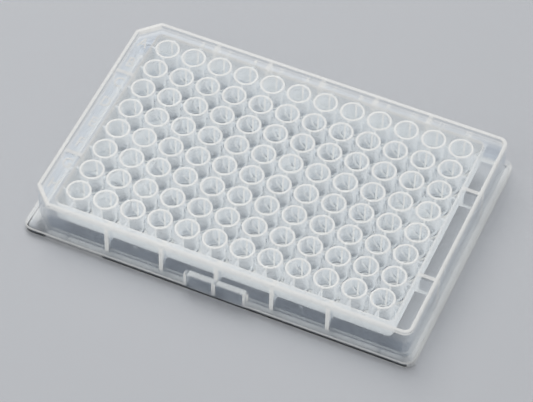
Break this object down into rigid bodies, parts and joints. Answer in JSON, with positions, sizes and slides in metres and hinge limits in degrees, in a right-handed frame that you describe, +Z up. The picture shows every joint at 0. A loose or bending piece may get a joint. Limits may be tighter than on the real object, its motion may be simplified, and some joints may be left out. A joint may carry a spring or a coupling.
{
  "type": "well plate",
  "caption": "Rectangular polypropylene well plate: a grid of round-bottomed wells in a sunken border, on a stepped skirt with two cut corners.",
  "frame": {"origin": "middle of the footprint, on the surface the plate stands on", "axes": "+X along the twelve columns from column 1 to column 12, +Y across the rows from row H to row A, +Z up"},
  "size_m": [0.1278, 0.0854, 0.0143],
  "materials": {
    "polypropylene": "natural translucent polypropylene, satin"
  },
  "bodies": {
    "root": {"well_plate": "polypropylene"}
  },
  "joints": []
}
